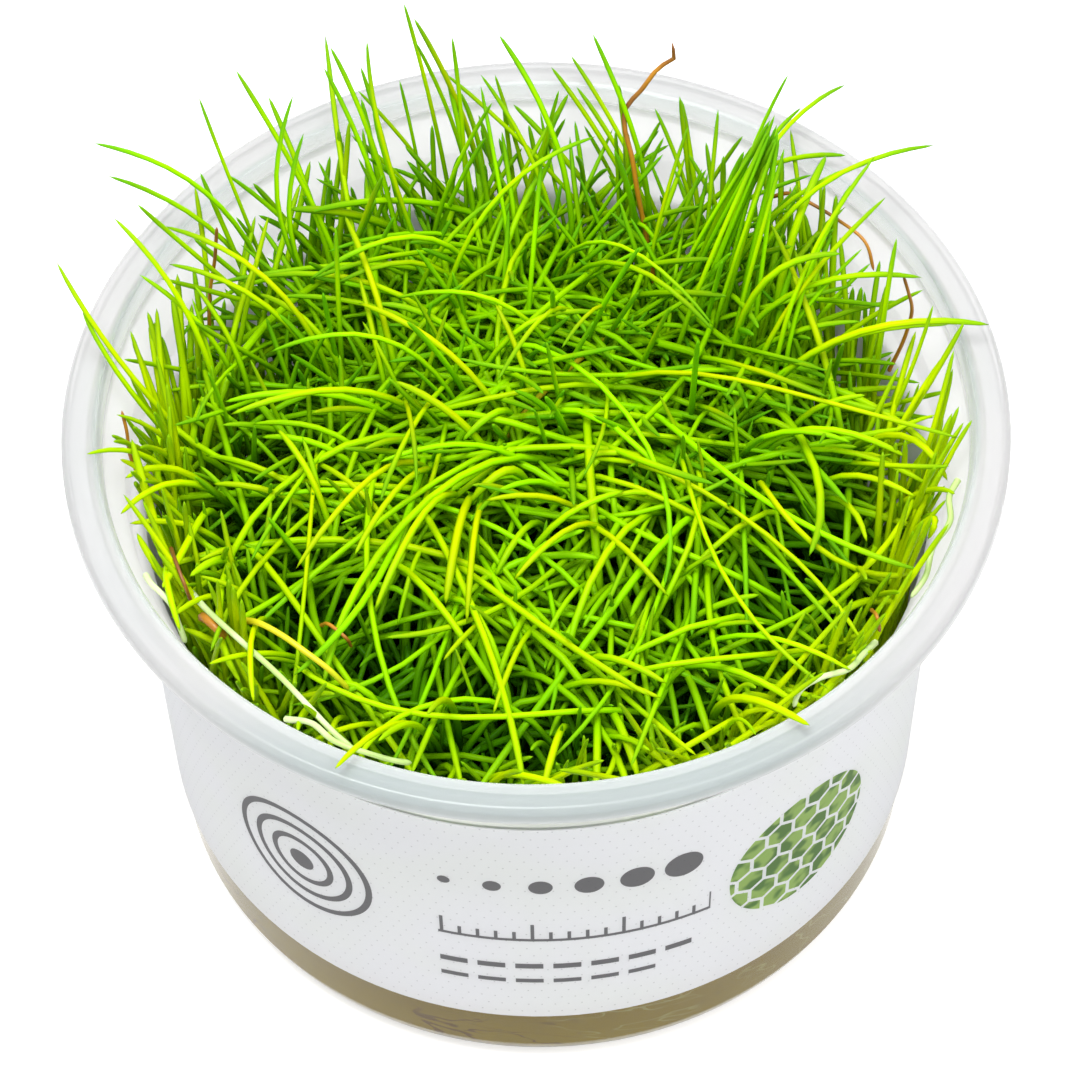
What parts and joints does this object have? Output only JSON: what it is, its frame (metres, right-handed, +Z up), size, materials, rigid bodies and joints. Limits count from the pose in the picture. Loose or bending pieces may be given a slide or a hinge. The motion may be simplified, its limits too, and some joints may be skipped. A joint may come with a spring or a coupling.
{
  "type": "needle spikerush in a culture cup",
  "caption": "Clear round culture cup with a rolled flange and a plain wrap label, holding nutrient gel and tufts of needle-like green stems that arch past its rim.",
  "frame": {"origin": "centre of the cup's underside, on the surface it stands on", "axes": "+Z up along the cup's axis; +Y from the side seen nearest in the picture to the far side, where the stems stand tallest"},
  "size_m": [0.1, 0.1, 0.082],
  "materials": {
    "clear_plastic": "clear, thin-walled moulded plastic with a light gloss",
    "label_film": null,
    "nutrient_gel": "cloudy olive gel",
    "stems": "fresh yellow-green, glossy and slightly translucent"
  },
  "bodies": {
    "root": {"cup": "clear_plastic", "label": "label_film", "nutrient_gel": "nutrient_gel", "tuft_01": "stems", "tuft_02": "stems", "tuft_03": "stems", "tuft_04": "stems", "tuft_05": "stems", "tuft_06": "stems", "tuft_07": "stems", "tuft_08": "stems", "tuft_09": "stems", "tuft_10": "stems", "tuft_11": "stems", "tuft_12": "stems", "tuft_13": "stems", "tuft_14": "stems", "tuft_15": "stems", "tuft_16": "stems", "tuft_17": "stems", "tuft_18": "stems", "tuft_19": "stems", "tuft_20": "stems", "tuft_21": "stems", "tuft_22": "stems", "tuft_23": "stems", "tuft_24": "stems", "tuft_25": "stems", "tuft_26": "stems", "tuft_27": "stems", "tuft_28": "stems", "tuft_29": "stems", "tuft_30": "stems", "tuft_31": "stems", "tuft_32": "stems", "tuft_33": "stems", "tuft_34": "stems", "tuft_35": "stems", "tuft_36": "stems", "tuft_37": "stems", "tuft_38": "stems", "tuft_39": "stems"}
  },
  "joints": []
}
